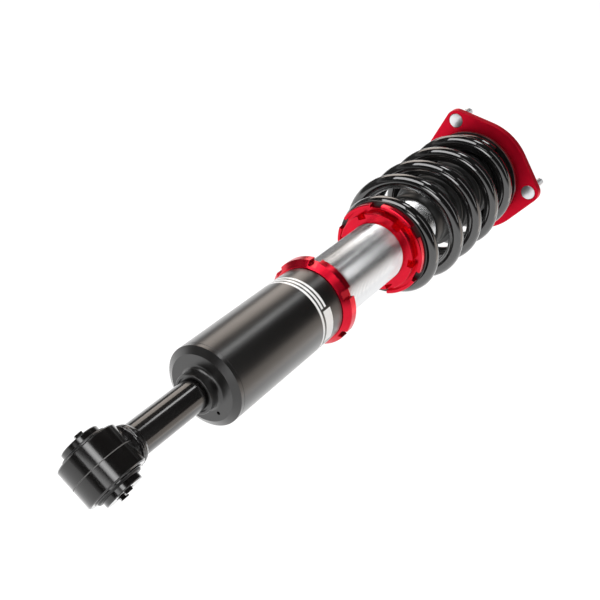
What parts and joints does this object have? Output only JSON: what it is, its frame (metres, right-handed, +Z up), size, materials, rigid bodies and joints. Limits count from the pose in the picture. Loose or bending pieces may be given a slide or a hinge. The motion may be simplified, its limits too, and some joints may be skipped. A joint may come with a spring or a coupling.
{
  "type": "coilover",
  "caption": "Threaded coilover damper with a lower bolt eye, adjustable spring perch, coil spring over a ribbed boot and a three-stud pillow-ball top plate.",
  "frame": {"origin": "centre of the bolt bore in the lower eye's bush", "axes": "+Z up the damper from the lower eye to the top plate, X along the lower eye's bolt, Y square to both; the plate's third ear points to +Y"},
  "size_m": [0.1162, 0.1197, 0.5866],
  "materials": {
    "black_paint": "satin black paint",
    "black_gloss": "gloss black paint",
    "black_satin": "satin black anodised",
    "red_anodised": "red anodised, machined",
    "bright_tube": "bright plated, finely threaded",
    "plain_aluminium": "machined",
    "zinc_steel": "bright zinc plate",
    "ground_steel": "hard chromed and ground",
    "bearing_steel": "polished bearing steel",
    "spring_black": "gloss black powder coat",
    "rubber_black": "matt",
    "nylon_black": "matt",
    "stop_foam": "closed-cell foam",
    "slide_band": "filled PTFE",
    "bronze": "plain bearing bronze"
  },
  "bodies": {
    "top_mount": {"top_plate": "red_anodised", "top_studs": "zinc_steel", "ball_race": "bearing_steel", "snap_ring": "zinc_steel"},
    "ball": {"pillow_ball": "bearing_steel"},
    "damper_rod": {"piston_rod": "ground_steel", "upper_spring_seat": "black_satin", "lower_spacer": "plain_aluminium", "upper_spacer": "plain_aluminium", "lock_washer": "zinc_steel", "top_nut": "zinc_steel", "bump_stop": "stop_foam", "dust_boot": "rubber_black", "coil_spring": "spring_black", "piston": "plain_aluminium", "piston_band": "slide_band", "rebound_shims": "zinc_steel", "compression_shims": "zinc_steel", "piston_nut": "zinc_steel"},
    "adjuster": {"adjuster_knob": "red_anodised", "adjuster_needle": "zinc_steel"},
    "damper_body": {"damper_tube": "bright_tube", "base_plug": "plain_aluminium", "rod_guide": "plain_aluminium", "guide_bush": "bronze", "rod_seal": "rubber_black", "gland_nut": "black_satin"},
    "gas_piston": {"floating_piston": "plain_aluminium", "gas_piston_ring": "rubber_black"},
    "perch_carrier": {"thrust_washer": "nylon_black"},
    "perch": {"spring_perch": "red_anodised"},
    "perch_lock": {"perch_lock_ring": "red_anodised"},
    "bracket_ring": {"bracket_lock_ring": "red_anodised"},
    "bracket": {"bracket_tube": "black_satin", "bracket_end_cap": "black_satin", "lower_shaft": "black_gloss", "lower_eye": "black_paint", "bush_shell": "zinc_steel", "bush_rubber": "rubber_black"},
    "bush_inner": {"bush_sleeve": "zinc_steel"}
  },
  "joints": [
    {"name": "top_swivel", "type": "hinge", "parent": "top_mount", "child": "ball", "pos_m": [0, 0, 0.5253], "axis": [1, 0, 0], "range_deg": [-6, 6]},
    {"name": "rod_spin", "type": "hinge", "parent": "ball", "child": "damper_rod", "pos_m": [0, 0, 0.5253], "axis": [0, 0, 1], "continuous": true},
    {"name": "adjuster_turn", "type": "hinge", "parent": "damper_rod", "child": "adjuster", "pos_m": [0, 0, 0.556], "axis": [0, 0, 1], "range_deg": [-360, 360]},
    {"name": "damper_stroke", "type": "slide", "parent": "damper_rod", "child": "damper_body", "axis": [0, 0, 1], "range_m": [0, 0.07], "stiffness_N_per_m": 76000, "springref_m": -0.005, "deforming": ["coil_spring", "dust_boot"]},
    {"name": "gas_piston_slide", "type": "slide", "parent": "damper_body", "child": "gas_piston", "axis": [0, 0, 1], "range_m": [-0.0076, 0]},
    {"name": "perch_travel", "type": "slide", "parent": "damper_body", "child": "perch_carrier", "axis": [0, 0, 1], "range_m": [-0.012, 0]},
    {"name": "perch_spin", "type": "hinge", "parent": "perch_carrier", "child": "perch", "pos_m": [0, 0, 0.3276], "axis": [0, 0, 1], "range_deg": [-2161, 1]},
    {"name": "perch_lock_turn", "type": "hinge", "parent": "perch", "child": "perch_lock", "pos_m": [0, 0, 0.3236], "axis": [0, 0, 1], "range_deg": [-20, 20]},
    {"name": "ride_height_travel", "type": "slide", "parent": "damper_body", "child": "bracket_ring", "axis": [0, 0, 1], "range_m": [-0.02, 0.055]},
    {"name": "bracket_spin", "type": "hinge", "parent": "bracket_ring", "child": "bracket", "pos_m": [0, 0, 0.224], "axis": [0, 0, 1], "range_deg": [-3601, 9901]},
    {"name": "bush_twist", "type": "hinge", "parent": "bracket", "child": "bush_inner", "pos_m": [0, 0, 0], "axis": [1, 0, 0], "range_deg": [-20, 20], "stiffness_Nm_per_rad": 20}
  ],
  "couplings": [
    {"joint": "gas_piston_slide", "follows": "damper_stroke", "ratio": -0.106},
    {"joint": "perch_spin", "follows": "perch_travel", "rad_per_m": 3141.6},
    {"joint": "bracket_spin", "follows": "ride_height_travel", "rad_per_m": 3141.6}
  ]
}
